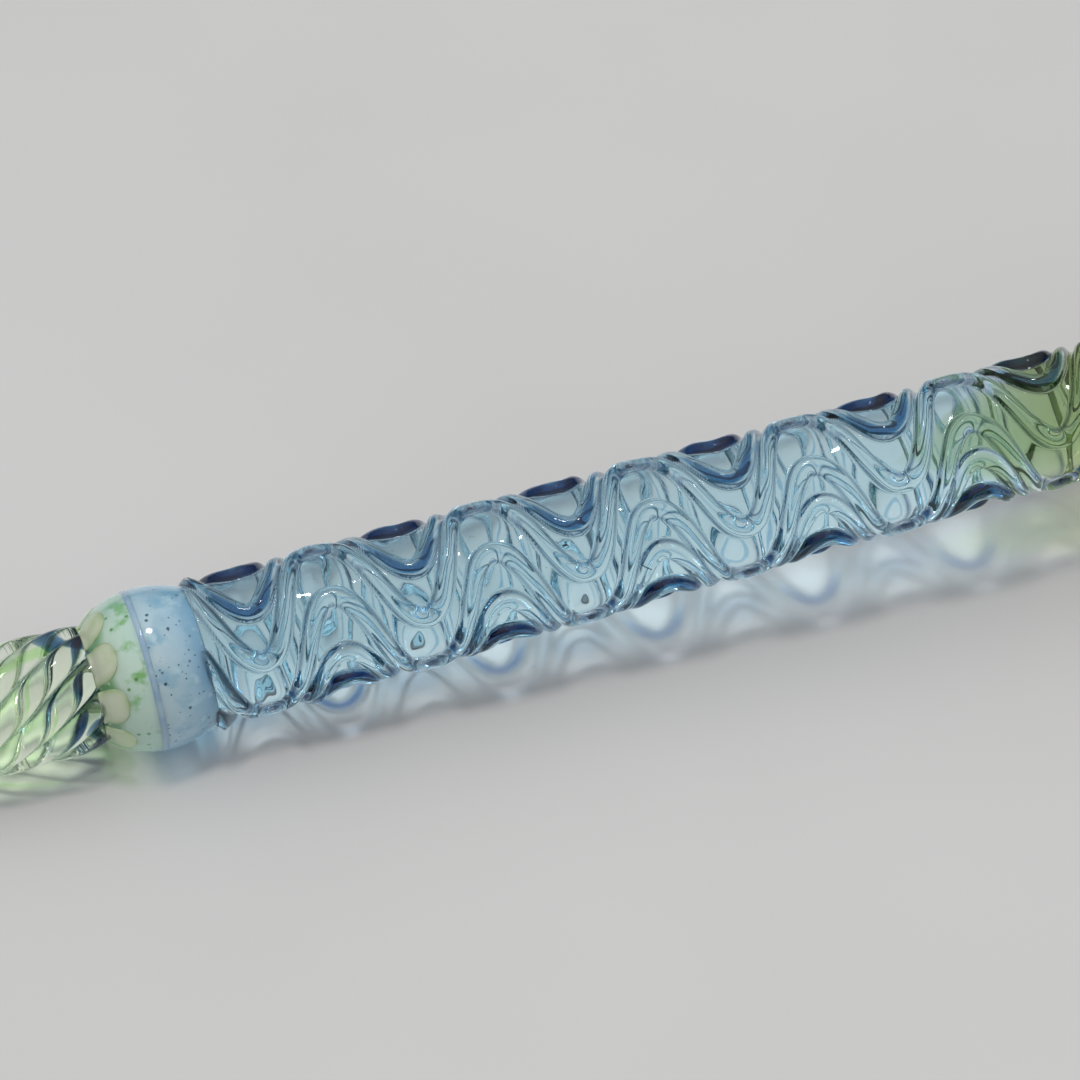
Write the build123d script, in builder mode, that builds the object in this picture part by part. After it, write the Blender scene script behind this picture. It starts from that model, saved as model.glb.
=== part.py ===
"""A flame-worked glass dip pen, lying level along X with its nib at -X.

The pen is one string of glass gathers fused end to end: a twisted, fluted nib, a bulb of two
opal glasses with a thread wound over their seam, a rod of aqua glass and one of olive glass,
and a ball that matches the bulb, so that the pen lies level. Seven glass trails are melted onto
the rods and drawn to and fro around them, which makes the raised waves. The origin is under the
middle of the pen, on the surface that it lies on.
"""

from build123d import *
import math
import os

os.makedirs("parts", exist_ok=True)

# Driving dimensions, in millimetres and degrees
NIB_LENGTH = 32.0
BULB_LENGTH = 8.0
FRONT_ROD_LENGTH = 65.0
REAR_ROD_LENGTH = 42.0
BULB_RADIUS = 6.05

# Nib: nine flutes, twisted at an even rate
FLUTES = 9
NIB_TWIST_RATE = 9.4
GROOVE_SHARE = 0.8
NIB_SPANS = 16
NIB_TIP_RADIUS = 0.36
# Distance from the bulb along the nib, and the radius over the flutes there
NIB_PROFILE = ((0, 4.45), (4, 4.72), (8, 4.72), (13, 4.35), (19, 3.35), (25, 2.0), (29, 1.1), (32, 0.35))

# Bulb: distance from the nib and radius, with the seam between its two glasses
SEAM_OFFSET = 3.8
SEAM_RADIUS = 6.04
BULB_WIDEST_OFFSET = 4.25
BULB_BACK_RADIUS = 5.25
SEAM_THREAD_RADIUS = 0.16

# Rods: a slight taper, and a waist in front of the ball
ROD_FRONT_RADIUS = 4.87
ROD_REAR_RADIUS = 4.15
WAIST_RADIUS = 3.1
WAIST_LENGTH = 5.0

# Wave trails: a rounded zigzag around the rods, a little wider apart on one side than the other
TRAIL_RADIUS = 0.62
TRAIL_RISE = 0.1
WAVE_LENGTH = 12.3
WAVE_SWING = 112.0
FALL_SHARE = 0.536
CREST_ROUNDING = -0.03
FIRST_CREST_FROM_BULB = -2.55
TRAIL_FRONT_GAP = 0.8
TRAIL_REAR_GAP = 2.0
# Angle of each trail's crests about the axis at these distances behind the bulb, and at the waist:
# 0 faces -Y and 90 faces up
CREST_STATIONS = (0.0, 34.0, 65.0)
CREST_ANGLES = (
    (237.0, 236.0, 235.0, 234.0),
    (183.0, 181.0, 196.0, 197.0),
    (138.0, 137.0, 138.0, 136.0),
    (66.0, 65.0, 64.0, 64.0),
    (10.0, 27.0, 30.0, 30.0),
    (-18.0, -14.0, -8.0, -6.0),
    (-65.0, -63.0, -61.0, -60.0),
)
WAVE_PHASES = (0, 0.075, 0.16, 0.25, 0.34, 0.425, 0.5, 0.575, 0.66, 0.75, 0.84, 0.925)
ARC_SHARE = 0.45

# Stations along the pen, from the nib's tip to the end of the ball
BALL_LENGTH = BULB_RADIUS + math.sqrt(BULB_RADIUS**2 - WAIST_RADIUS**2)
PEN_LENGTH = NIB_LENGTH + BULB_LENGTH + FRONT_ROD_LENGTH + REAR_ROD_LENGTH + BALL_LENGTH
TIP_X = -PEN_LENGTH / 2
BULB_X = TIP_X + NIB_LENGTH
ROD_X = BULB_X + BULB_LENGTH
REAR_ROD_X = ROD_X + FRONT_ROD_LENGTH
BALL_X = REAR_ROD_X + REAR_ROD_LENGTH
END_X = BALL_X + BALL_LENGTH
WAIST_X = BALL_X - WAIST_LENGTH
SEAM_X = BULB_X + SEAM_OFFSET
AXIS_HEIGHT = BULB_RADIUS
# Profiles are drawn with x along the pen and y away from its axis
PROFILE_PLANE = Plane(origin=(0, 0, AXIS_HEIGHT), x_dir=(1, 0, 0), z_dir=(0, -1, 0))
PEN_AXIS = Axis((0, 0, AXIS_HEIGHT), (1, 0, 0))


def finish(piece, label):
    """Names a finished piece and writes its STEP file."""
    piece.part.label = label
    export_step(piece.part, f"parts/{label}.step")


def between(profile, distance):
    """The value that a profile of (distance, value) pairs has at a distance."""
    for (start, low), (end, high) in zip(profile, profile[1:]):
        if distance <= end:
            share = (distance - start) / (end - start)
            return low + (high - low) * share
    return profile[-1][1]


def along_rods(x, at_bulb, at_waist):
    """The value at x of a quantity that changes evenly from the bulb to the waist."""
    return at_bulb + (at_waist - at_bulb) * (x - ROD_X) / (WAIST_X - ROD_X)


def rod_radius(x):
    """The rods' radius at x, ahead of the waist."""
    return along_rods(x, ROD_FRONT_RADIUS, ROD_REAR_RADIUS)


def on_pen(x, radius, angle):
    """The point at x, at a radius and an angle about the pen's axis."""
    turn = math.radians(angle)
    return Vector(x, -radius * math.cos(turn), AXIS_HEIGHT + radius * math.sin(turn))


def flute_points(crest_radius, turn):
    """The points of the nib's section, from groove to crest to groove around the axis."""
    groove_radius = crest_radius * GROOVE_SHARE
    half_pitch = 180 / FLUTES
    points = []
    for step in range(2 * FLUTES):
        radius = groove_radius if step % 2 == 0 else crest_radius
        points.append(Vector(radius, 0).rotate(Axis.Z, turn + step * half_pitch))
    return points


def make_nib():
    """The fluted nib: twisted sections lofted from the bulb to the rounded writing point."""
    fluted_length = NIB_LENGTH - NIB_TIP_RADIUS
    with BuildPart() as nib:
        for station in range(NIB_SPANS + 1):
            distance = fluted_length * station / NIB_SPANS
            points = flute_points(between(NIB_PROFILE, distance), NIB_TWIST_RATE * distance)
            section_plane = Plane(
                origin=(BULB_X - distance, 0, AXIS_HEIGHT), x_dir=(0, 1, 0), z_dir=(1, 0, 0)
            )
            with BuildSketch(section_plane):
                with BuildLine():
                    for start in range(0, 2 * FLUTES, 2):
                        ThreePointArc(points[start], points[start + 1], points[(start + 2) % (2 * FLUTES)])
                make_face()
        loft()
        with Locations((TIP_X + NIB_TIP_RADIUS, 0, AXIS_HEIGHT)):
            Sphere(NIB_TIP_RADIUS)
    finish(nib, "nib")


def make_bulb_front():
    """The green opal shoulder of the bulb, from the nib to the seam."""
    with BuildPart() as bulb_front:
        with BuildSketch(PROFILE_PLANE):
            with BuildLine():
                Spline(
                    (BULB_X, NIB_PROFILE[0][1]),
                    (BULB_X + 0.85, 5.06),
                    (BULB_X + 2.1, 5.65),
                    (SEAM_X, SEAM_RADIUS),
                )
                Line((SEAM_X, SEAM_RADIUS), (SEAM_X, 0))
                Line((SEAM_X, 0), (BULB_X, 0))
                Line((BULB_X, 0), (BULB_X, NIB_PROFILE[0][1]))
            make_face()
        revolve(axis=PEN_AXIS)
    finish(bulb_front, "bulb_front")


def make_bulb_rear():
    """The blue opal part of the bulb, from the seam over its widest point to the rod."""
    with BuildPart() as bulb_rear:
        with BuildSketch(PROFILE_PLANE):
            with BuildLine():
                Spline(
                    (SEAM_X, SEAM_RADIUS),
                    (BULB_X + BULB_WIDEST_OFFSET, BULB_RADIUS),
                    (BULB_X + 6.0, 5.86),
                    (BULB_X + 7.1, 5.56),
                    (ROD_X, BULB_BACK_RADIUS),
                )
                Line((ROD_X, BULB_BACK_RADIUS), (ROD_X, 0))
                Line((ROD_X, 0), (SEAM_X, 0))
                Line((SEAM_X, 0), (SEAM_X, SEAM_RADIUS))
            make_face()
        revolve(axis=PEN_AXIS)
    finish(bulb_rear, "bulb_rear")


def make_seam_thread():
    """The fine pale thread wound around the bulb over its seam, sunk until it is flush."""
    with BuildPart() as seam_thread:
        with BuildSketch(PROFILE_PLANE):
            with Locations((SEAM_X, SEAM_RADIUS - SEAM_THREAD_RADIUS)):
                Circle(SEAM_THREAD_RADIUS)
        revolve(axis=PEN_AXIS)
    finish(seam_thread, "bulb_seam_thread")


def make_front_rod():
    """The aqua rod behind the bulb."""
    with BuildPart() as front_rod:
        with BuildSketch(PROFILE_PLANE):
            with BuildLine():
                Polyline(
                    (ROD_X, 0),
                    (ROD_X, rod_radius(ROD_X)),
                    (REAR_ROD_X, rod_radius(REAR_ROD_X)),
                    (REAR_ROD_X, 0),
                    close=True,
                )
            make_face()
        revolve(axis=PEN_AXIS)
    finish(front_rod, "front_rod")


def make_rear_rod():
    """The olive rod, which necks down to a waist in front of the ball."""
    with BuildPart() as rear_rod:
        with BuildSketch(PROFILE_PLANE):
            with BuildLine():
                Polyline(
                    (BALL_X, WAIST_RADIUS),
                    (BALL_X, 0),
                    (REAR_ROD_X, 0),
                    (REAR_ROD_X, rod_radius(REAR_ROD_X)),
                    (WAIST_X, rod_radius(WAIST_X)),
                )
                Spline(
                    (WAIST_X, rod_radius(WAIST_X)),
                    (BALL_X, WAIST_RADIUS),
                    tangents=((1, 0), (1, 0)),
                )
            make_face()
        revolve(axis=PEN_AXIS)
    finish(rear_rod, "rear_rod")


def make_end_ball():
    """The ball at the pen's end, as wide as the bulb."""
    with BuildPart() as end_ball:
        with BuildSketch(PROFILE_PLANE):
            with BuildLine():
                ThreePointArc(
                    (BALL_X, WAIST_RADIUS),
                    (END_X - BULB_RADIUS, BULB_RADIUS),
                    (END_X, 0),
                )
                Line((END_X, 0), (BALL_X, 0))
                Line((BALL_X, 0), (BALL_X, WAIST_RADIUS))
            make_face()
        revolve(axis=PEN_AXIS)
    finish(end_ball, "end_ball")


def wave_angle(phase):
    """How far a trail lies from its middle angle, at a phase from crest (0) to crest (1)."""
    turn = 2 * math.pi * phase
    swing = math.cos(turn) + CREST_ROUNDING * math.cos(3 * turn)
    return WAVE_SWING / 2 * swing / (1 + CREST_ROUNDING)


def wave_offset(phase):
    """The distance along the pen from a crest to a phase: the fall is longer than the rise."""
    if phase <= 0.5:
        return WAVE_LENGTH * FALL_SHARE * phase / 0.5
    return WAVE_LENGTH * (FALL_SHARE + (1 - FALL_SHARE) * (phase - 0.5) / 0.5)


def crest_angle(x, angles):
    """The crest angle that a trail has at x, which changes evenly from station to station."""
    stations = (*CREST_STATIONS, WAIST_X - ROD_X)
    return between(tuple(zip(stations, angles)), x - ROD_X)


def trail_points(crest_angles):
    """The corners of one trail's path, from the bulb to the waist."""
    first_crest_x = ROD_X + FIRST_CREST_FROM_BULB
    waves = math.ceil((WAIST_X - first_crest_x) / WAVE_LENGTH)
    points = []
    for wave in range(waves):
        for phase in WAVE_PHASES:
            x = first_crest_x + wave * WAVE_LENGTH + wave_offset(phase)
            if ROD_X + TRAIL_FRONT_GAP <= x <= WAIST_X - TRAIL_REAR_GAP:
                angle = crest_angle(x, crest_angles) - WAVE_SWING / 2 + wave_angle(phase)
                points.append(on_pen(x, rod_radius(x) + TRAIL_RISE, angle))
    return points


def arc_radii(points):
    """The largest tangent arc that each corner's two runs leave room for."""
    radii = []
    for before, corner, after in zip(points, points[1:], points[2:]):
        run_in = corner - before
        run_out = after - corner
        half_turn = math.radians(run_in.get_angle(run_out)) / 2
        radii.append(ARC_SHARE * min(run_in.length, run_out.length) / math.tan(half_turn))
    return radii


def make_wave_trails():
    """The seven trails: round glass threads along their zigzag paths, half sunk into the rods."""
    for number, crest_angles in enumerate(CREST_ANGLES, start=1):
        points = trail_points(crest_angles)
        radii = arc_radii(points)
        with BuildPart() as wave_trail:
            with BuildLine() as path:
                FilletPolyline(*points, radius=radii)
            route = path.wires()[0]
            with BuildSketch(Plane(origin=route @ 0, z_dir=route % 0)):
                Circle(TRAIL_RADIUS)
            sweep(path=route)
        finish(wave_trail, f"wave_trail_{number}")
        volume = wave_trail.part.volume
        expected = math.pi * TRAIL_RADIUS**2 * route.length
        print(f"wave_trail_{number}: smallest arc {min(radii):.2f}, volume {volume:.1f} of {expected:.1f}")


make_nib()
make_bulb_front()
make_bulb_rear()
make_seam_thread()
make_front_rod()
make_rear_rod()
make_end_ball()
make_wave_trails()
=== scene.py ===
"""The looks of the glass dip pen: transparent aqua and olive glass with raised wave trails,
an opal bulb and a twisted fluted nib, on a pale table.

Lengths are in millimetres in this file's numbers and in metres in the scene. The pen's parts are
closed skins: rings of points around the pen's axis, whose radius changes along the pen and around
it. Light bends only at the clear outer skins. The colours inside are bodies of coloured glass that
only absorb light, so where two of them overlap, their colours add up.
"""

import math

import bpy
import numpy as np
from mathutils import Matrix, Vector


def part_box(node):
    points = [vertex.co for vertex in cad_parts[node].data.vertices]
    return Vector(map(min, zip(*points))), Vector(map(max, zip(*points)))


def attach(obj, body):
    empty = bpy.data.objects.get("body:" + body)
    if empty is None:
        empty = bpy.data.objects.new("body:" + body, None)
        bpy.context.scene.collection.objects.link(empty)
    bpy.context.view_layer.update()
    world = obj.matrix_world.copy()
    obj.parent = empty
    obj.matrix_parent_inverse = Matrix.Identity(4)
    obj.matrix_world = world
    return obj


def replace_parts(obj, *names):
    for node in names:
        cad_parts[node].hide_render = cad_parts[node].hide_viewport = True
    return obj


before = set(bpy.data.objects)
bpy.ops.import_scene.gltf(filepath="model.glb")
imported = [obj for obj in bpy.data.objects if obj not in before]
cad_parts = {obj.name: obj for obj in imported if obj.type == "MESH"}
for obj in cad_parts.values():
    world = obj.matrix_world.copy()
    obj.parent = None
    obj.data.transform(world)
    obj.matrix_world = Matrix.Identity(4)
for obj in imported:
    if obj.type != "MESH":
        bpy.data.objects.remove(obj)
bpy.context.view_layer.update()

MM = 0.001


def node_span(node):
    """Where a CAD node starts and ends along the pen, in millimetres."""
    low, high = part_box(node)
    return low.x / MM, high.x / MM


NIB_TIP_X = node_span("nib")[0]
BULB_X, SEAM_X = node_span("bulb_front")
ROD_X = node_span("bulb_rear")[1]
BALL_X = node_span("rear_rod")[1]
END_X = node_span("end_ball")[1]
AXIS_Z = (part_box("end_ball")[0].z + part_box("end_ball")[1].z) / 2 / MM
BULB_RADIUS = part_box("bulb_rear")[1].y / MM

# Rods and waist
ROD_FRONT_RADIUS = 4.87
ROD_REAR_RADIUS = 4.15
WAIST_RADIUS = 3.1
WAIST_LENGTH = 5.0
WAIST_X = BALL_X - WAIST_LENGTH
BULB_BACK_RADIUS = 5.25
NECK_LENGTH = 1.6

# The bulb's outline: distance from the nib, and radius. The handle's clear skin starts inside the bulb.
BULB_OUTLINE = ((0, 4.3), (0.35, 4.66), (0.85, 5.04), (1.9, 5.56), (3.0, 5.90), (3.8, 6.03), (4.3, 6.05),
                (5.2, 5.99), (6.0, 5.86), (6.8, 5.66), (7.5, 5.42), (8.0, 5.25))
UNDER_SKIN = 0.06
BALL_CENTRE_X = END_X - BULB_RADIUS

# Wave trails, the same waves as the CAD's
TRAIL_RISE = 0.1
WAVE_LENGTH = 12.3
WAVE_SWING = 112.0
FALL_SHARE = 0.536
PHASE_STEP = 0.0015
CREST_ROUNDING = -0.03
FIRST_CREST_X = ROD_X - 2.55
TRAIL_START_X = ROD_X - 0.5
TRAIL_END_X = WAIST_X - 2.0
CREST_STATIONS = (0.0, 34.0, 65.0)
CREST_ANGLES = (
    (237.0, 236.0, 235.0, 234.0),
    (183.0, 181.0, 196.0, 197.0),
    (138.0, 137.0, 138.0, 136.0),
    (66.0, 65.0, 64.0, 64.0),
    (10.0, 27.0, 30.0, 30.0),
    (-18.0, -14.0, -8.0, -6.0),
    (-65.0, -63.0, -61.0, -60.0),
)

# The ridge that a trail makes on the skin: it's wider and higher where the trail bends
RIDGE_HALF_WIDTH = 0.56
RIDGE_HEIGHT = 0.66
BEND_EXTRA_WIDTH = 0.16
BEND_EXTRA_HEIGHT = 0.14
RIDGE_ROUND_SHARE = 0.95
RIDGE_SIDE_SLOPE = 3.0
RIDGE_EASE = 0.05
RIDGE_REACH = 1.3

# Painted shade along each foot of a ridge, a navy line where it meets the rod: its place as a share
# of the ridge's half width, its width, and its strength at the bulb and at the waist
FOOT_SHADE_PLACE = 0.98
FOOT_SHADE_WIDTH = 0.10
FOOT_SHADE_STRENGTHS = (0.89, 1.03)
# How far the painted shade at the bends reaches past a ridge's edge, and the most painted shade at any point
BEND_SHADE_REACH = 0.4
MOST_PAINTED_SHADE = 0.995

# Painted shade: how navy each trail is at its crests and at its troughs, strongest where the bends
# of trails 1 and 7 lie on the pen's outline as seen from the camera
BEND_SHADE_SHARES = ((0.0, 0.85), (0.15, 0.55), (0.0, 0.0), (0.0, 0.0), (0.0, 0.0), (0.35, 0.0), (0.85, 0.0))

# ---------------------------------------------------------------- shapes


def along_rods(x, at_bulb, at_waist):
    """The value at x of a quantity that changes evenly from the bulb to the waist."""
    return at_bulb + (at_waist - at_bulb) * (x - ROD_X) / (WAIST_X - ROD_X)


def smooth_share(x, start, end):
    """0 before start, 1 after end, with an eased step between them."""
    share = np.clip((x - start) / (end - start), 0, 1)
    return share * share * (3 - 2 * share)


def smooth_curve(knots, x):
    """A smooth curve through (x, value) knots: cubic pieces with evened slopes."""
    at = np.array([k[0] for k in knots], float)
    values = np.array([k[1] for k in knots], float)
    slopes = np.gradient(values, at)
    x = np.clip(x, at[0], at[-1])
    left = np.clip(np.searchsorted(at, x, side="right") - 1, 0, len(at) - 2)
    width = at[left + 1] - at[left]
    t = (x - at[left]) / width
    return ((2 * t**3 - 3 * t**2 + 1) * values[left] + (t**3 - 2 * t**2 + t) * width * slopes[left]
            + (3 * t**2 - 2 * t**3) * values[left + 1] + (t**3 - t**2) * width * slopes[left + 1])


def rod_radius(x):
    """The handle's radius without its trails: under the bulb's skin, then rods, waist and ball."""
    x = np.asarray(x, float)
    plain = along_rods(np.minimum(x, WAIST_X), ROD_FRONT_RADIUS, ROD_REAR_RADIUS)
    plain = plain + (WAIST_RADIUS - plain) * smooth_share(x, WAIST_X, BALL_X)
    neck = 1 - smooth_share(x, ROD_X, ROD_X + NECK_LENGTH)
    plain = plain + (BULB_BACK_RADIUS - UNDER_SKIN - ROD_FRONT_RADIUS) * neck
    under_bulb = smooth_curve(BULB_OUTLINE, x - BULB_X) - UNDER_SKIN
    ball = np.sqrt(np.clip(BULB_RADIUS**2 - (x - BALL_CENTRE_X) ** 2, 0.0004, None))
    return np.where(x < ROD_X, under_bulb, np.where(x > BALL_X, ball, plain))


def trail_line(crest_angles):
    """One trail's centre line as x, angle in radians, and its bend: 1 at a crest and -1 at a trough."""
    waves = math.ceil((TRAIL_END_X - FIRST_CREST_X) / WAVE_LENGTH)
    phase = np.arange(0, waves, PHASE_STEP)
    part = phase % 1
    falling = part <= 0.5
    step = np.where(falling, FALL_SHARE * part / 0.5, FALL_SHARE + (1 - FALL_SHARE) * (part - 0.5) / 0.5)
    x = FIRST_CREST_X + (np.floor(phase) + step) * WAVE_LENGTH
    turn = 2 * math.pi * part
    swing = (np.cos(turn) + CREST_ROUNDING * np.cos(3 * turn)) / (1 + CREST_ROUNDING)
    crest = np.interp(x - ROD_X, (*CREST_STATIONS, WAIST_X - ROD_X), crest_angles)
    angle = crest + WAVE_SWING / 2 * (swing - 1)
    kept = (x >= TRAIL_START_X) & (x <= TRAIL_END_X)
    return x[kept], np.radians(angle[kept]), np.cos(turn[kept])


def ring_points(xs, radii, angles):
    """Rings of points around the axis, as an array of rows, columns and coordinates in metres."""
    across = -radii * np.cos(angles)[None, :]
    up = AXIS_Z + radii * np.sin(angles)[None, :]
    along = np.repeat(np.asarray(xs)[:, None], len(angles), axis=1)
    return np.stack([along, across, up], axis=-1) * MM


def finished_piece(name, points, faces, material, foot=None):
    """A smooth piece that rides with the pen, from points in metres and faces."""
    mesh = bpy.data.meshes.new(name)
    mesh.from_pydata(points.reshape(-1, 3).tolist(), [], faces)
    mesh.polygons.foreach_set("use_smooth", np.ones(len(faces), bool))
    mesh.materials.append(material)
    if foot is not None:
        mesh.attributes.new("foot", "FLOAT", "POINT").data.foreach_set("value", foot.reshape(-1))
    mesh.update()
    piece = bpy.data.objects.new(name, mesh)
    bpy.context.scene.collection.objects.link(piece)
    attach(piece, "root")
    return piece


def tube_faces(rows, columns, outward=True):
    """The faces of a capped tube, made of rows of rings."""
    here = np.arange(columns)
    following = (here + 1) % columns
    starts = (np.arange(rows - 1) * columns)[:, None]
    corners = [starts + here, starts + columns + here, starts + columns + following, starts + following]
    faces = [tuple(range(columns))] + np.stack(corners, axis=-1).reshape(-1, 4).tolist()
    faces.append(tuple((rows - 1) * columns + column for column in reversed(range(columns))))
    return faces if outward else [tuple(reversed(face)) for face in faces]


def skin(name, xs, radii, material, foot=None):
    """A closed skin through rings of radii around the axis."""
    rows, columns = radii.shape
    points = ring_points(xs, radii, np.arange(columns) * 2 * math.pi / columns)
    return finished_piece(name, points, tube_faces(rows, columns), material, foot)


def ridge_heights(xs, columns):
    """The height of the wave trails over the rod, on a grid of rings and columns, and how much
    painted shade each point has: a navy line along the foot of each trail, and navy at the bends of some."""
    angles = np.arange(columns) * 2 * math.pi / columns
    lines = [trail_line(crest) for crest in CREST_ANGLES]
    heights = np.zeros((len(xs), columns))
    painted_shade = np.zeros((len(xs), columns))
    for row, x in enumerate(xs):
        radius = rod_radius(x) + TRAIL_RISE
        for (line_x, line_angle, bend), (crest_shade, trough_shade) in zip(lines, BEND_SHADE_SHARES):
            near = np.abs(line_x - x) < RIDGE_REACH
            if not near.any():
                continue
            turn = line_angle[near][:, None] - angles[None, :]
            turn = (turn + math.pi) % (2 * math.pi) - math.pi
            distance = np.hypot((line_x[near] - x)[:, None], turn * radius)
            nearest = distance.argmin(axis=0)
            w = distance[nearest, np.arange(columns)]
            way = bend[near][nearest]
            half_width = RIDGE_HALF_WIDTH + BEND_EXTRA_WIDTH * way**2
            height = RIDGE_HEIGHT + BEND_EXTRA_HEIGHT * way**2
            inner = np.minimum(w, RIDGE_ROUND_SHARE * half_width)
            cap = height - half_width + np.sqrt(half_width**2 - inner**2)
            cap = cap - RIDGE_SIDE_SLOPE * (w - inner)
            eased = RIDGE_EASE * np.logaddexp(0, np.clip(cap / RIDGE_EASE, -40, 400))
            heights[row] += eased * smooth_share(x, ROD_X - 0.6, ROD_X + 0.7)
            # Painted shade: a navy line along each foot of the ridge
            line = np.exp(-(((w - FOOT_SHADE_PLACE * half_width) / FOOT_SHADE_WIDTH) ** 2))
            painted_shade[row] = np.maximum(painted_shade[row], along_rods(x, *FOOT_SHADE_STRENGTHS) * line)
            # Painted shade: navy over the ridge at the bends that the shares mark
            navy = crest_shade * smooth_share(way, 0.1, 0.8) + trough_shade * smooth_share(-way, 0.1, 0.8)
            over_ridge = 1 - smooth_share(w, half_width, half_width + BEND_SHADE_REACH)
            painted_shade[row] = np.maximum(painted_shade[row], navy * over_ridge)
    return heights, np.minimum(painted_shade, MOST_PAINTED_SHADE)


def waviness(xs, columns):
    """The slight unevenness of hand-drawn glass, in millimetres."""
    angles = np.arange(columns)[None, :] * 2 * math.pi / columns
    xs = np.asarray(xs)[:, None]
    return (0.022 * np.sin(2.1 * xs + 3 * angles) + 0.018 * np.sin(1.3 * xs - 5 * angles + 1.0)
            + 0.014 * np.sin(3.4 * xs + 2 * angles + 2.0) - 0.03)


# ---------------------------------------------------------------- materials


def new_material(name):
    material = bpy.data.materials.new(name)
    material.use_nodes = True
    tree = material.node_tree
    shader = tree.nodes["Principled BSDF"]
    output = tree.nodes["Material Output"]
    return material, tree, shader, output


def blend(tree, factor, under, over):
    """A colour mix of two sockets or colours by a factor socket."""
    mix = tree.nodes.new("ShaderNodeMix")
    mix.data_type = "RGBA"
    tree.links.new(factor, mix.inputs["Factor"])
    for socket, value in (("A", under), ("B", over)):
        if isinstance(value, tuple):
            mix.inputs[socket].default_value = (*value, 1)
        else:
            tree.links.new(value, mix.inputs[socket])
    return mix.outputs["Result"]


def arithmetic(tree, operation, *values):
    """The result of a sum or comparison of sockets and numbers."""
    node = tree.nodes.new("ShaderNodeMath")
    node.operation = operation
    for socket, value in zip(node.inputs, values):
        if isinstance(value, float):
            socket.default_value = value
        else:
            tree.links.new(value, socket)
    return node.outputs["Value"]


def share_between(tree, value, low, high, eased=False, most=1.0):
    """0 where a value is at low and most where it's at high, evenly or with an eased step."""
    node = tree.nodes.new("ShaderNodeMapRange")
    if eased:
        node.interpolation_type = "SMOOTHSTEP"
    node.inputs["From Min"].default_value = low
    node.inputs["From Max"].default_value = high
    node.inputs["To Max"].default_value = most
    tree.links.new(value, node.inputs["Value"])
    return node.outputs["Result"]


def colour_ramp(tree, factor, stops):
    """Colours along a factor, from stops of a place and a colour in order."""
    ramp = tree.nodes.new("ShaderNodeValToRGB")
    elements = ramp.color_ramp.elements
    for element, (position, colour) in zip(elements, (stops[0], stops[-1])):
        element.position = position
        element.color = (*colour, 1)
    for position, colour in stops[1:-1]:
        elements.new(position).color = (*colour, 1)
    tree.links.new(factor, ramp.inputs["Fac"])
    return ramp.outputs["Color"]


def facing(tree, amount):
    """How steeply the skin is seen: 0 face on and 1 at its outline."""
    layer = tree.nodes.new("ShaderNodeLayerWeight")
    layer.inputs["Blend"].default_value = amount
    return layer.outputs["Facing"]


def vertex_value(tree, name):
    """A value that's stored at the points of the mesh."""
    stored = tree.nodes.new("ShaderNodeAttribute")
    stored.attribute_name = name
    return stored.outputs["Fac"]


def object_place(tree):
    """The place in the pen's own frame, in metres."""
    return tree.nodes.new("ShaderNodeTexCoord").outputs["Object"]


def cast_shadow(tree, shader, output, shade):
    """Lets light on its way to the table through, tinted by shade, a colour or a socket."""
    clear = tree.nodes.new("ShaderNodeBsdfTransparent")
    if isinstance(shade, tuple):
        clear.inputs["Color"].default_value = (*shade, 1)
    else:
        tree.links.new(shade, clear.inputs["Color"])
    path = tree.nodes.new("ShaderNodeLightPath")
    mix = tree.nodes.new("ShaderNodeMixShader")
    tree.links.new(path.outputs["Is Shadow Ray"], mix.inputs["Fac"])
    tree.links.new(shader.outputs["BSDF"], mix.inputs[1])
    tree.links.new(clear.outputs["BSDF"], mix.inputs[2])
    tree.links.new(mix.outputs["Shader"], output.inputs["Surface"])


# Light through clear glass, by how steeply it meets the skin: a place, a brightness and a tint.
# Curved glass gathers the light to the middle of its shadow and leaves the sides dark and blue.
SHADOW_STOPS = (
    (0.0, 1.85, (1, 1, 1)),
    (0.06, 1.7, (1, 1, 1)),
    (0.2, 1.3, (1, 1, 1)),
    (0.4, 0.74, (0.90, 0.98, 1.04)),
    (0.65, 0.40, (0.80, 0.95, 1.07)),
    (1.0, 0.35, (0.78, 0.95, 1.08)),
)


def glass(name, absorbed, density, shadow, ior=1.47, foot=None):
    """Glass whose colour grows with the light's way through it. shadow is the colour that its
    surface gives to light on its way to the table. foot is the colour of painted shade: the lines
    that the mesh's foot values mark, at the foot of the trails or flutes, and painted shade
    where the skin is seen at its steepest, towards its outline."""
    material, tree, shader, output = new_material(name)
    shader.inputs["Base Color"].default_value = (1, 1, 1, 1)
    shader.inputs["Roughness"].default_value = 0.0
    shader.inputs["IOR"].default_value = ior
    shader.inputs["Transmission Weight"].default_value = 1.0
    absorption = tree.nodes.new("ShaderNodeVolumeAbsorption")
    absorption.inputs["Color"].default_value = (*absorbed, 1)
    absorption.inputs["Density"].default_value = density
    tree.links.new(absorption.outputs["Volume"], output.inputs["Volume"])
    if foot is not None:
        # Painted shade: the foot colour where the skin is seen steeply, towards its outline, and where the
        # foot values mark it
        painted_outline_shade = share_between(tree, facing(tree, 0.5), 0.70, 1.0, eased=True, most=0.85)
        painted_shade_share = arithmetic(tree, "MAXIMUM", vertex_value(tree, "foot"), painted_outline_shade)
        tree.links.new(blend(tree, painted_shade_share, (1, 1, 1), foot), shader.inputs["Base Color"])
    if ior == 1.0:
        shader.inputs["Specular IOR Level"].default_value = 0.0
        cast_shadow(tree, shader, output, shadow)
    else:
        stops = []
        for position, light, tint in SHADOW_STOPS:
            stops.append((position, [c * light * t for c, t in zip(shadow, tint)]))
        cast_shadow(tree, shader, output, colour_ramp(tree, facing(tree, 0.5), stops))
    return material


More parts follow.
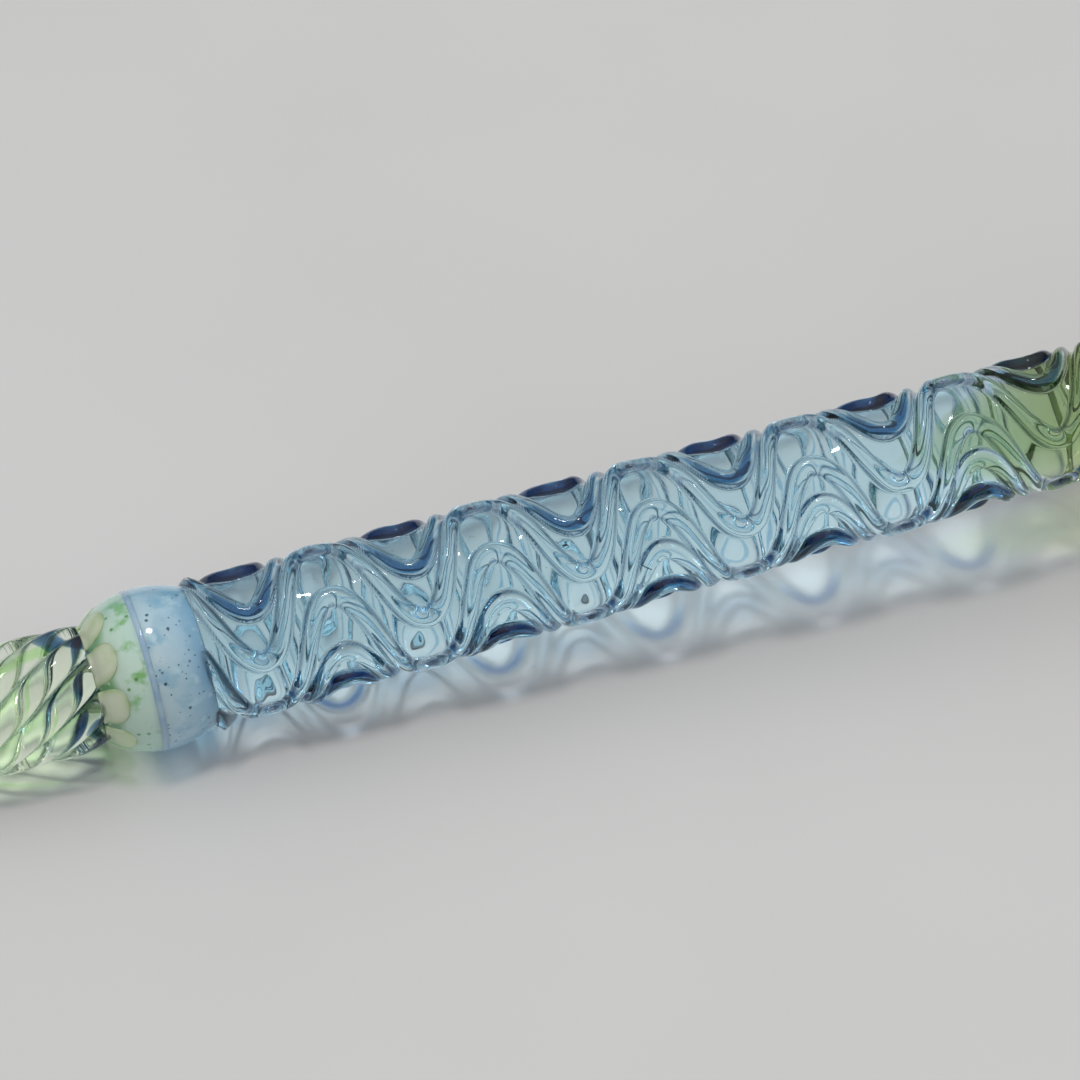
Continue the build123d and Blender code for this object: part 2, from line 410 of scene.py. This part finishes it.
def noise_mask(tree, scale, low, high, detail=3.0):
    """A cloudy mask: 0 where the noise is under low, 1 where it's over high."""
    noise = tree.nodes.new("ShaderNodeTexNoise")
    noise.inputs["Scale"].default_value = scale
    noise.inputs["Detail"].default_value = detail
    tree.links.new(object_place(tree), noise.inputs["Vector"])
    return share_between(tree, noise.outputs["Fac"], low, high)


def speck_mask(tree, scale, size, share):
    """A mask of small round specks, in a share of the cells of a Voronoi pattern."""
    cells = tree.nodes.new("ShaderNodeTexVoronoi")
    cells.inputs["Scale"].default_value = scale
    tree.links.new(object_place(tree), cells.inputs["Vector"])
    inside = share_between(tree, cells.outputs["Distance"], size, size * 0.5)
    split = tree.nodes.new("ShaderNodeSeparateColor")
    tree.links.new(cells.outputs["Color"], split.inputs["Color"])
    chosen = arithmetic(tree, "LESS_THAN", split.outputs["Red"], share)
    return arithmetic(tree, "MULTIPLY", inside, chosen)


DRIFT_SCALE = 380.0
DRIFT = 0.22


def along_ramp(tree, start, end, stops):
    """A colour that changes along the pen from start to end, in millimetres, with a little drift."""
    split = tree.nodes.new("ShaderNodeSeparateXYZ")
    tree.links.new(object_place(tree), split.inputs["Vector"])
    place = share_between(tree, split.outputs["X"], start * MM, end * MM)
    noise = tree.nodes.new("ShaderNodeTexNoise")
    noise.inputs["Scale"].default_value = DRIFT_SCALE
    tree.links.new(object_place(tree), noise.inputs["Vector"])
    drifted = arithmetic(tree, "MULTIPLY_ADD", noise.outputs["Fac"], DRIFT, place)
    return colour_ramp(tree, arithmetic(tree, "ADD", drifted, -DRIFT / 2), stops)


def milky(tree, shader, output, colour, outline_shade_colour, shade, scatter=0.9):
    """Light that sinks a millimetre or two into the glass, under a glossy skin with painted shade
    towards its outline. shade is the colour of the light that it lets through to the table."""
    shader.inputs["Roughness"].default_value = 0.35
    shader.inputs["IOR"].default_value = 1.45
    shader.inputs["Specular IOR Level"].default_value = 0.3
    shader.inputs["Subsurface Weight"].default_value = scatter
    shader.inputs["Subsurface Radius"].default_value = (1, 1, 1)
    shader.inputs["Subsurface Scale"].default_value = 2.2 * MM
    shader.inputs["Coat Weight"].default_value = 1.0
    shader.inputs["Coat Roughness"].default_value = 0.06
    shader.inputs["Coat IOR"].default_value = 1.45
    # Painted shade: the colour turns to the outline shade colour where the skin is seen at a slant
    tree.links.new(blend(tree, facing(tree, 0.35), colour, outline_shade_colour), shader.inputs["Base Color"])
    cast_shadow(tree, shader, output, shade)


def green_opal(name):
    """Milky pale green, greener towards the nib, with small green specks."""
    material, tree, shader, output = new_material(name)
    stops = (
        (0.0, (0.06, 0.17, 0.05)),
        (0.22, (0.16, 0.33, 0.13)),
        (0.36, (0.48, 0.61, 0.51)),
        (0.85, (0.48, 0.63, 0.56)),
        (1.0, (0.40, 0.55, 0.57)),
    )
    base = along_ramp(tree, BULB_X, SEAM_X, stops)
    patches = blend(tree, noise_mask(tree, 620.0, 0.54, 0.68), base, (0.19, 0.42, 0.15))
    pale = blend(tree, noise_mask(tree, 1100.0, 0.56, 0.72), patches, (0.50, 0.63, 0.54))
    specks = blend(tree, speck_mask(tree, 1500.0, 0.30, 0.25), pale, (0.08, 0.26, 0.06))
    milky(tree, shader, output, specks, (0.19, 0.42, 0.35), (0.90, 0.97, 0.92))
    return material


def blue_opal(name):
    """Milky blue with clouds and dark specks, deeper towards the handle."""
    material, tree, shader, output = new_material(name)
    stops = (
        (0.0, (0.44, 0.56, 0.61)),
        (0.25, (0.42, 0.55, 0.60)),
        (0.65, (0.34, 0.50, 0.60)),
        (1.0, (0.15, 0.33, 0.51)),
    )
    base = along_ramp(tree, SEAM_X, ROD_X, stops)
    clouds = blend(tree, noise_mask(tree, 480.0, 0.50, 0.72), base, (0.19, 0.38, 0.51))
    pale = blend(tree, noise_mask(tree, 900.0, 0.55, 0.75), clouds, (0.44, 0.60, 0.66))
    specks = blend(tree, speck_mask(tree, 1500.0, 0.26, 0.30), pale, (0.02, 0.06, 0.10))
    fine = blend(tree, speck_mask(tree, 2900.0, 0.26, 0.22), specks, (0.04, 0.10, 0.16))
    milky(tree, shader, output, fine, (0.14, 0.35, 0.52), (0.54, 0.70, 0.79))
    return material


def petal_glass(name):
    """The creamy green where the nib's flutes sink into the bulb, with a green rim."""
    material, tree, shader, output = new_material(name)
    colour = blend(tree, vertex_value(tree, "foot"), (0.64, 0.68, 0.50), (0.22, 0.40, 0.10))
    mottled = blend(tree, noise_mask(tree, 900.0, 0.48, 0.7), colour, (0.52, 0.63, 0.38))
    milky(tree, shader, output, mottled, (0.30, 0.46, 0.22), (0.85, 0.92, 0.82), 0.7)
    return material


def thread(name):
    """The pale blue glass of the seam's thread."""
    material, tree, shader, output = new_material(name)
    pale = blend(tree, noise_mask(tree, 800.0, 0.4, 0.65), (0.27, 0.42, 0.58), (0.36, 0.51, 0.62))
    milky(tree, shader, output, pale, (0.16, 0.30, 0.48), (0.9, 0.92, 0.95))
    return material


def speck(name):
    """Dark metallic dust caught in the glass."""
    material, tree, shader, _ = new_material(name)
    dust = blend(tree, noise_mask(tree, 300.0, 0.4, 0.6), (0.01, 0.03, 0.05), (0.03, 0.07, 0.09))
    tree.links.new(dust, shader.inputs["Base Color"])
    shader.inputs["Roughness"].default_value = 0.35
    return material


# The foot colours are painted shade: navy on the handle, dark green in the nib's grooves, and at the glass's
# outlines
PAINTED_SHADE_NAVY = (0.006, 0.085, 0.21)
HANDLE_GLASS = glass("handle_glass", (0.82, 0.94, 0.97), 50.0, (0.97, 0.97, 0.97), foot=PAINTED_SHADE_NAVY)
AQUA = glass("aqua_glass", (0.26, 0.76, 0.92), 67.0, (1.08, 1.02, 1.01), ior=1.0)
OLIVE = glass("olive_glass", (0.52, 0.60, 0.06), 200.0, (1.1, 1.08, 1.2), ior=1.0)
NAVY_GLASS = glass("navy_glass", (0.0, 0.48, 0.74), 4800.0, (1, 1, 1), ior=1.0)
STREAK_GLASS = glass("navy_streak", (0.0, 0.35, 0.6), 5200.0, (0.8, 0.88, 0.9), ior=1.0)
LEAF_GLASS = glass("green_streak", (0.35, 0.95, 0.0), 1500.0, (0.95, 1, 0.9), ior=1.0)
NIB_GLASS = glass("nib_glass", (0.78, 0.92, 0.64), 75.0, (1.02, 1.06, 1.0), foot=(0.05, 0.22, 0.16))
GREEN_OPAL = green_opal("green_opal")
BLUE_OPAL = blue_opal("blue_opal")
PETAL = petal_glass("petal_glass")
THREAD = thread("seam_thread")
SPECK = speck("dark_speck")

# ---------------------------------------------------------------- pieces

GAP = 0.01
SKIN_START_X = ROD_X - 1.5
STEP = 0.12
COLUMNS = 272


def stations(start, end, step):
    """Evenly spaced places from start to end, about a step apart."""
    return np.linspace(start, end, max(3, int(round((end - start) / step)) + 1))


ball_turn = np.linspace(math.asin(WAIST_RADIUS / BULB_RADIUS) - math.pi, -0.01, 60)
ball_xs = BALL_CENTRE_X + BULB_RADIUS * np.cos(ball_turn)
handle_xs = np.concatenate([stations(SKIN_START_X, BALL_X, STEP), ball_xs[1:]])
heights, painted_shade = ridge_heights(handle_xs, COLUMNS)
uneven = waviness(handle_xs, COLUMNS) * smooth_share(BALL_X - handle_xs, 0, 3)[:, None]
handle_radii = rod_radius(handle_xs)[:, None] + uneven + heights
handle_glass = skin("handle_glass", handle_xs, handle_radii, HANDLE_GLASS, painted_shade)
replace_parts(handle_glass, "end_ball")

# The coloured glass inside: aqua from the bulb and olive from the ball, each ending in a blunt cone
# inside the other, so that the colours run into each other
INSET = 0.11
OLIVE_START_X = ROD_X + 53.5
OLIVE_FULL_X = ROD_X + 69.0
AQUA_FULL_X = ROD_X + 61.0
AQUA_END_X = ROD_X + 76.0
CONE_STEPS = np.linspace(0, 1, 24)
CONE_SHARES = np.maximum(CONE_STEPS, 0.002) ** 0.85


def colour_radii(xs):
    """The coloured glass's radius: everything inside the clear skin."""
    return np.maximum(rod_radius(xs) - INSET, 0.02)


def colour_body(name, xs, shares, material, node):
    """A body of coloured glass that fills a share of the handle's radius."""
    radii = np.repeat((colour_radii(xs) * shares)[:, None], 96, axis=1)
    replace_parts(skin(name, xs, radii, material), node)


full_xs = stations(ROD_X + GAP, AQUA_FULL_X, 0.6)
cone_xs = AQUA_FULL_X + (AQUA_END_X - AQUA_FULL_X) * CONE_STEPS[1:]
xs = np.concatenate([full_xs, cone_xs])
shares = np.concatenate([np.ones(len(full_xs)), CONE_SHARES[::-1][1:]])
colour_body("aqua_body", xs, shares, AQUA, "front_rod")

cone_xs = OLIVE_START_X + (OLIVE_FULL_X - OLIVE_START_X) * CONE_STEPS[:-1]
full_xs = np.concatenate([stations(OLIVE_FULL_X, BALL_X, 0.6), ball_xs[1:-2]])
xs = np.concatenate([cone_xs, full_xs])
shares = np.concatenate([CONE_SHARES[:-1], np.ones(len(full_xs))])
colour_body("olive_body", xs, shares, OLIVE, "rear_rod")


def glass_thread(name, x, radius, angle, thickness, material, sides=14):
    """A round glass thread, whose centre runs through points at a radius and an angle around the axis."""
    centre = np.stack([x, -radius * np.cos(angle), AXIS_Z + radius * np.sin(angle)], axis=-1)
    way = np.gradient(centre, axis=0)
    way /= np.linalg.norm(way, axis=1)[:, None]
    out = np.stack([np.zeros_like(x), -np.cos(angle), np.sin(angle)], axis=-1)
    side = np.cross(way, out)
    side /= np.linalg.norm(side, axis=1)[:, None]
    out = np.cross(side, way)
    ends = np.minimum(np.arange(len(x)), np.arange(len(x))[::-1])
    thickness = thickness * np.sqrt(np.clip(ends / 5, 0.04, 1))
    turns = np.arange(sides) * 2 * math.pi / sides
    ring = out[:, None, :] * np.cos(turns)[None, :, None] + side[:, None, :] * np.sin(turns)[None, :, None]
    points = (centre[:, None, :] + ring * thickness[:, None, None]) * MM
    rows, columns = points.shape[:2]
    return finished_piece(name, points, tube_faces(rows, columns, outward=False), material)


def glass_specks(name, count, start, end):
    """Tiny dark specks of metal in the aqua glass, just under its surface."""
    points, faces = [], []
    corners = np.array([(1, 0, 0), (-1, 0, 0), (0, 1, 0), (0, -1, 0), (0, 0, 1), (0, 0, -1)], float)
    sides = ((0, 2, 4), (2, 1, 4), (1, 3, 4), (3, 0, 4), (2, 0, 5), (1, 2, 5), (3, 1, 5), (0, 3, 5))
    for number in range(count):
        x = start + (end - start) * chance.random() ** 1.5
        angle = chance.uniform(0, 2 * math.pi)
        radius = rod_radius(x) - chance.uniform(0.25, 1.2)
        size = chance.uniform(0.025, 0.06) * np.array([chance.uniform(1, 1.8), 1, 1])
        centre = np.array([x, -radius * math.cos(angle), AXIS_Z + radius * math.sin(angle)])
        points.append((centre + corners * size) * MM)
        faces += [tuple(number * 6 + corner for corner in side) for side in sides]
    return finished_piece(name, np.concatenate(points), faces, SPECK)


chance = np.random.default_rng(7)
glass_specks("glass_specks", count=130, start=ROD_X + 0.5, end=ROD_X + 90.0)


# The blue glass in each trail: its centre's height over the rod, how thick it is in each trail, and
# how much thicker it is at a bend with full painted shade, where the extra navy is painted shade
BLUE_HEIGHT = 0.14
BLUE_RADII = (0.07, 0.07, 0.05, 0.05, 0.05, 0.06, 0.07)
BEND_CORE = 0.36


def trail_core(name, crest_angles, blue, navy):
    """The blue glass inside one wave trail: a round thread along its line, thickened at the bends that carry
    painted shade, as painted shade.
    """
    every = 12
    x, angle, bend = (values[::every] for values in trail_line(crest_angles))
    bend_shade_share = navy[0] * smooth_share(bend, 0.2, 0.9) + navy[1] * smooth_share(-bend, 0.2, 0.9)
    thickness = blue + BEND_CORE * bend_shade_share
    return glass_thread(name, x, rod_radius(x) + BLUE_HEIGHT, angle, thickness, NAVY_GLASS, 12)


for number, (crest_angles, blue, navy) in enumerate(zip(CREST_ANGLES, BLUE_RADII, BEND_SHADE_SHARES), start=1):
    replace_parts(trail_core(f"blue_thread_{number}", crest_angles, blue, navy), f"wave_trail_{number}")


def bulb_piece(name, start, end, material):
    """A stretch of the bulb's opal glass."""
    xs = stations(start + GAP, end - GAP, 0.08)
    radii = np.repeat(smooth_curve(BULB_OUTLINE, xs - BULB_X)[:, None], 192, axis=1)
    return skin(name, xs, radii, material)


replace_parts(bulb_piece("bulb_green_opal", BULB_X, SEAM_X, GREEN_OPAL), "bulb_front")
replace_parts(bulb_piece("bulb_blue_opal", SEAM_X, ROD_X, BLUE_OPAL), "bulb_rear")

SEAM_RING_RADIUS = 5.365
SEAM_THREAD_RADIUS = 0.70


def seam_ring(name, x, radius, thickness):
    """The pale thread around the bulb, over its seam."""
    columns = 192
    around = np.arange(columns) * 2 * math.pi / columns
    ring_turn = np.linspace(0, 2 * math.pi, 25)[:-1]
    ring_r = radius + thickness * np.cos(ring_turn)
    ring_x = x + thickness * np.sin(ring_turn)
    points = ring_points(ring_x, np.repeat(ring_r[:, None], columns, axis=1), around)
    rows = len(ring_turn)
    here, following = np.arange(columns), (np.arange(columns) + 1) % columns
    starts = (np.arange(rows) * columns)[:, None]
    nexts = ((np.arange(rows) + 1) % rows * columns)[:, None]
    faces = np.stack([starts + here, nexts + here, nexts + following, starts + following], axis=-1)
    return finished_piece(name, points, faces.reshape(-1, 4).tolist(), THREAD)


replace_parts(seam_ring("seam_thread_ring", SEAM_X, SEAM_RING_RADIUS, SEAM_THREAD_RADIUS), "bulb_seam_thread")

# Nib: its twist, the share of its radius that the grooves between its lobes take, and its outline
# as distance from the bulb and radius over the lobes
NIB_LOBES = 9
LOBE_PITCH = 2 * math.pi / NIB_LOBES
NIB_TWIST_RATE = math.radians(9.4)
NIB_TURN = math.radians(21.0)
LOBE_DEPTH = 0.25
NIB_OUTLINE = ((0, 4.45), (2, 4.72), (5, 4.74), (8, 4.72), (13, 4.35), (19, 3.35), (25, 2.0), (29, 1.1),
               (31.7, 0.42), (32, 0.1))

# The streaks: how far the navy ones reach from the bulb, and where the green ones start and end
NAVY_STREAK_LENGTH = 4.2
LONG_STREAK_LENGTH = 6.8
GREEN_START_X = NIB_TIP_X + 6.0
GREEN_END_X = BULB_X - 2.4
GREEN_RADIUS_SHARE = 0.72


def lobe_angle(x, lobe):
    """The angle of a lobe's crest around the axis at x."""
    return NIB_TURN + lobe * LOBE_PITCH - NIB_TWIST_RATE * (BULB_X - x)


def nib_radius(x):
    """The nib's radius over its lobes at x."""
    return smooth_curve(NIB_OUTLINE, BULB_X - x)


def fluted_nib(name):
    """The nib's clear skin: twisted round lobes, with painted shade, a dark streak, in each groove."""
    xs = stations(NIB_TIP_X, BULB_X + 0.3, 0.15)
    columns = NIB_LOBES * 40
    angles = np.arange(columns) * 2 * math.pi / columns
    turn = angles[None, :] - lobe_angle(xs, 0.5)[:, None]
    across = (turn / LOBE_PITCH) % 1 * 2 - 1
    radii = nib_radius(xs)[:, None] * (1 - LOBE_DEPTH + LOBE_DEPTH * np.sqrt(1.002 - across**2))
    # Painted shade along the bottom of each groove
    painted_shade = np.exp(-(((1 - np.abs(across)) / 0.09) ** 2))
    return skin(name, xs, radii, NIB_GLASS, painted_shade)


def navy_streak(name, lobe, length):
    """A thick navy streak in the groove behind a lobe, which thins out along the nib."""
    x = np.linspace(BULB_X - length, BULB_X - 0.1, 60)
    share = (x - x[0]) / (x[-1] - x[0])
    thickness = 0.04 + 0.34 * smooth_share(share, 0.25, 0.9)
    radius = nib_radius(x) * (1 - LOBE_DEPTH) - thickness * 0.7
    return glass_thread(name, x, radius, lobe_angle(x, lobe + 0.5), thickness, STREAK_GLASS)


def green_streak(name, lobe):
    """A green streak inside a lobe, from near the point to near the bulb."""
    x = np.linspace(GREEN_START_X, GREEN_END_X, 120)
    radius = nib_radius(x) * GREEN_RADIUS_SHARE
    thickness = 0.05 + 0.04 * radius
    return glass_thread(name, x, radius, lobe_angle(x, lobe + 0.22), thickness, LEAF_GLASS)


nib = fluted_nib("nib_glass_flutes")
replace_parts(nib, "nib")
for lobe in range(NIB_LOBES):
    every_third = lobe % 3 == 0
    length = LONG_STREAK_LENGTH if every_third else NAVY_STREAK_LENGTH
    navy_streak(f"nib_navy_streak_{lobe + 1}", lobe, length)
    if every_third:
        green_streak(f"nib_green_streak_{lobe + 1}", lobe)


PETAL_LENGTH = 2.0
PETAL_HALF_ANGLE = math.radians(17.5)
PETAL_RISE = 0.10
PETAL_DEPTH = 0.25


def petal(name, lobe):
    """The rounded end of a nib lobe, sunk into the bulb's front."""
    rows, columns = 14, 21
    u, v = np.meshgrid(np.linspace(0, 1, rows), np.linspace(-1, 1, columns), indexing="ij")
    x = BULB_X - 0.25 + u * PETAL_LENGTH
    wide = PETAL_HALF_ANGLE * np.sqrt(np.clip(1.01 - u**3.2, 0, 1))
    angle = NIB_TURN + lobe * LOBE_PITCH + NIB_TWIST_RATE * (x - BULB_X) * 0.25 + v * wide
    surface = smooth_curve(BULB_OUTLINE, x - BULB_X)
    rise = PETAL_RISE * np.sqrt(1 - v**2) * np.sqrt(1 - u**4)
    rim_share = np.maximum(np.abs(v) ** 3, u**4) ** 1.5
    layers = []
    for radius in (surface + rise, surface - PETAL_DEPTH):
        layer = np.stack([x, -radius * np.cos(angle), AXIS_Z + radius * np.sin(angle)], axis=-1)
        layers.append(layer.reshape(-1, 3))
    points = np.concatenate(layers) * MM
    count = rows * columns
    grid = np.arange(count).reshape(rows, columns)
    faces = []
    for i in range(rows - 1):
        for j in range(columns - 1):
            quad = (grid[i, j], grid[i, j + 1], grid[i + 1, j + 1], grid[i + 1, j])
            faces.append(tuple(int(p) for p in reversed(quad)))
            faces.append(tuple(int(p) + count for p in quad))
    rim = [*grid[0, :], *grid[1:, -1], *grid[-1, -2::-1], *grid[-2:0:-1, 0]]
    for here, following in zip(rim, rim[1:] + rim[:1]):
        faces.append((int(here), int(here) + count, int(following) + count, int(following))[::-1])
    return finished_piece(name, points, faces, PETAL, np.tile(rim_share.reshape(-1), 2))


for lobe in range(NIB_LOBES):
    petal(f"nib_petal_{lobe + 1}", lobe)

# ---------------------------------------------------------------- camera, table and light

# The pen as it lies: turned on the table, with its rear lifted by the rest that it leans on
PEN_TURN = math.radians(17.3)
PEN_LIFT = math.radians(4.4)
CAMERA_ELEVATION = math.radians(45.0)
CAMERA_DISTANCE = 442.5
LENS = 200.0
SENSOR = 36.0
AIM_FROM_ROD = 26.15
AIM_ABOVE_AXIS = 1.512

# The table touches the bulb where it's widest, at a distance behind its front end
BULB_WIDEST = 4.25
TABLE_SIZE = 3000.0
TABLE_GAP = 0.02

# From directions as seen from the table (right, away and up) to the pen's own frame
along = Vector((math.cos(PEN_TURN), math.sin(PEN_TURN), 0)) * math.cos(PEN_LIFT)
along.z = math.sin(PEN_LIFT)
across_pen = Vector((-math.sin(PEN_TURN), math.cos(PEN_TURN), 0))
TO_PEN = Matrix((along, across_pen, along.cross(across_pen)))


def photo_camera(name):
    """A long lens that looks down on the pen from the front, aimed a little above its axis."""
    look = TO_PEN @ Vector((0, math.cos(CAMERA_ELEVATION), -math.sin(CAMERA_ELEVATION)))
    image_right = TO_PEN @ Vector((1, 0, 0))
    image_up = TO_PEN @ Vector((0, math.sin(CAMERA_ELEVATION), math.cos(CAMERA_ELEVATION)))
    aim = Vector((ROD_X + AIM_FROM_ROD, 0, AXIS_Z)) + image_up * AIM_ABOVE_AXIS
    eye = aim - look * CAMERA_DISTANCE
    data = bpy.data.cameras.new(name)
    data.sensor_width = SENSOR
    data.lens = LENS
    data.clip_start = 0.001
    camera = bpy.data.objects.new(name, data)
    turn = Matrix((image_right, image_up, -look)).transposed().to_4x4()
    camera.matrix_world = Matrix.Translation(eye * MM) @ turn
    bpy.context.scene.collection.objects.link(camera)
    return camera


def table_top(name):
    """Pale, faintly uneven paper. Light that comes through the glass sees painted light and shade
    instead: a brighter table near the pen and painted shade further out, as in a dim room, which
    gives the glass its dark outlines."""
    material, tree, shader, _ = new_material(name)
    shader.inputs["Roughness"].default_value = 0.55
    away = tree.nodes.new("ShaderNodeVectorMath")
    away.operation = "LENGTH"
    tree.links.new(object_place(tree), away.inputs[0])
    falloff = share_between(tree, away.outputs["Value"], 0.05, 0.45, eased=True)
    # Painted light near the pen and painted shade further out, seen only through the glass
    painted_light_and_shade = blend(tree, falloff, (0.74, 0.74, 0.735), (0.10, 0.115, 0.13))
    path = tree.nodes.new("ShaderNodeLightPath")
    pale = blend(tree, noise_mask(tree, 18.0, 0.35, 0.7), (0.562, 0.559, 0.556), (0.587, 0.585, 0.583))
    seen = blend(tree, path.outputs["Is Camera Ray"], painted_light_and_shade, pale)
    tree.links.new(seen, shader.inputs["Base Color"])
    return material


def table_under_pen(name):
    """A large flat table that touches the bulb, in the pen's own frame."""
    foot = Vector((BULB_X + BULB_WIDEST, 0, AXIS_Z)) - TO_PEN @ Vector((0, 0, BULB_RADIUS + TABLE_GAP))
    corners = []
    for right, further in ((-0.5, -0.5), (0.5, -0.5), (0.5, 0.5), (-0.5, 0.5)):
        corners.append(foot + TO_PEN @ Vector((right * TABLE_SIZE, further * TABLE_SIZE, 0)))
    mesh = bpy.data.meshes.new(name)
    mesh.from_pydata([tuple(corner * MM) for corner in corners], [], [(0, 1, 2, 3)])
    mesh.materials.append(table_top("table_top"))
    table = bpy.data.objects.new(name, mesh)
    bpy.context.scene.collection.objects.link(table)
    return table


bpy.context.scene.camera = photo_camera("camera")
table = table_under_pen("table")


LAMP_WAY = (-0.05, -0.01, 1.0)
GLINT_WAY = (-0.05, 0.16, 1.0)


def area_light(name, direction, distance, size, power):
    """A round lamp at a direction from the pen's middle, given as seen from the table."""
    data = bpy.data.lights.new(name, "AREA")
    data.shape = "DISK"
    data.size = size * MM
    data.energy = power
    lamp = bpy.data.objects.new(name, data)
    way = (TO_PEN @ Vector(direction)).normalized()
    lamp.location = (Vector((0, 0, AXIS_Z)) + way * distance) * MM
    lamp.rotation_euler = way.to_track_quat("Z", "Y").to_euler()
    bpy.context.scene.collection.objects.link(lamp)
    return lamp


# The key lamp makes the shadow, and the glint only the small highlights on the glass
key = area_light("key", LAMP_WAY, distance=700, size=130, power=1.66)
key.visible_glossy = False
glint = area_light("glint", GLINT_WAY, distance=690, size=90, power=0.6)
glint.visible_diffuse = False
glint.visible_transmission = False


# How bright the sky is, from the horizon at 0 to overhead at 1
SKY_STOPS = ((0.0, 0.12), (0.12, 0.20), (0.34, 0.42), (0.62, 0.70), (0.8, 0.95), (1.0, 0.95))
SKY_STRENGTH = 0.92


def sky(name):
    """A soft room: bright overhead, dim near the horizon."""
    world = bpy.data.worlds.new(name)
    world.use_nodes = True
    tree = world.node_tree
    background = tree.nodes["Background"]
    coordinates = tree.nodes.new("ShaderNodeTexCoord")
    split = tree.nodes.new("ShaderNodeSeparateXYZ")
    tree.links.new(coordinates.outputs["Generated"], split.inputs["Vector"])
    stops = [(position, (light, light, light)) for position, light in SKY_STOPS]
    tree.links.new(colour_ramp(tree, split.outputs["Z"], stops), background.inputs["Color"])
    background.inputs["Strength"].default_value = SKY_STRENGTH
    return world


scene = bpy.context.scene
scene.world = sky("soft_room")
scene.view_settings.view_transform = "Standard"
scene.cycles.use_denoising = True
scene.cycles.max_bounces = 24
scene.cycles.transmission_bounces = 24
scene.cycles.transparent_max_bounces = 24
scene.cycles.caustics_refractive = False
scene.cycles.caustics_reflective = False
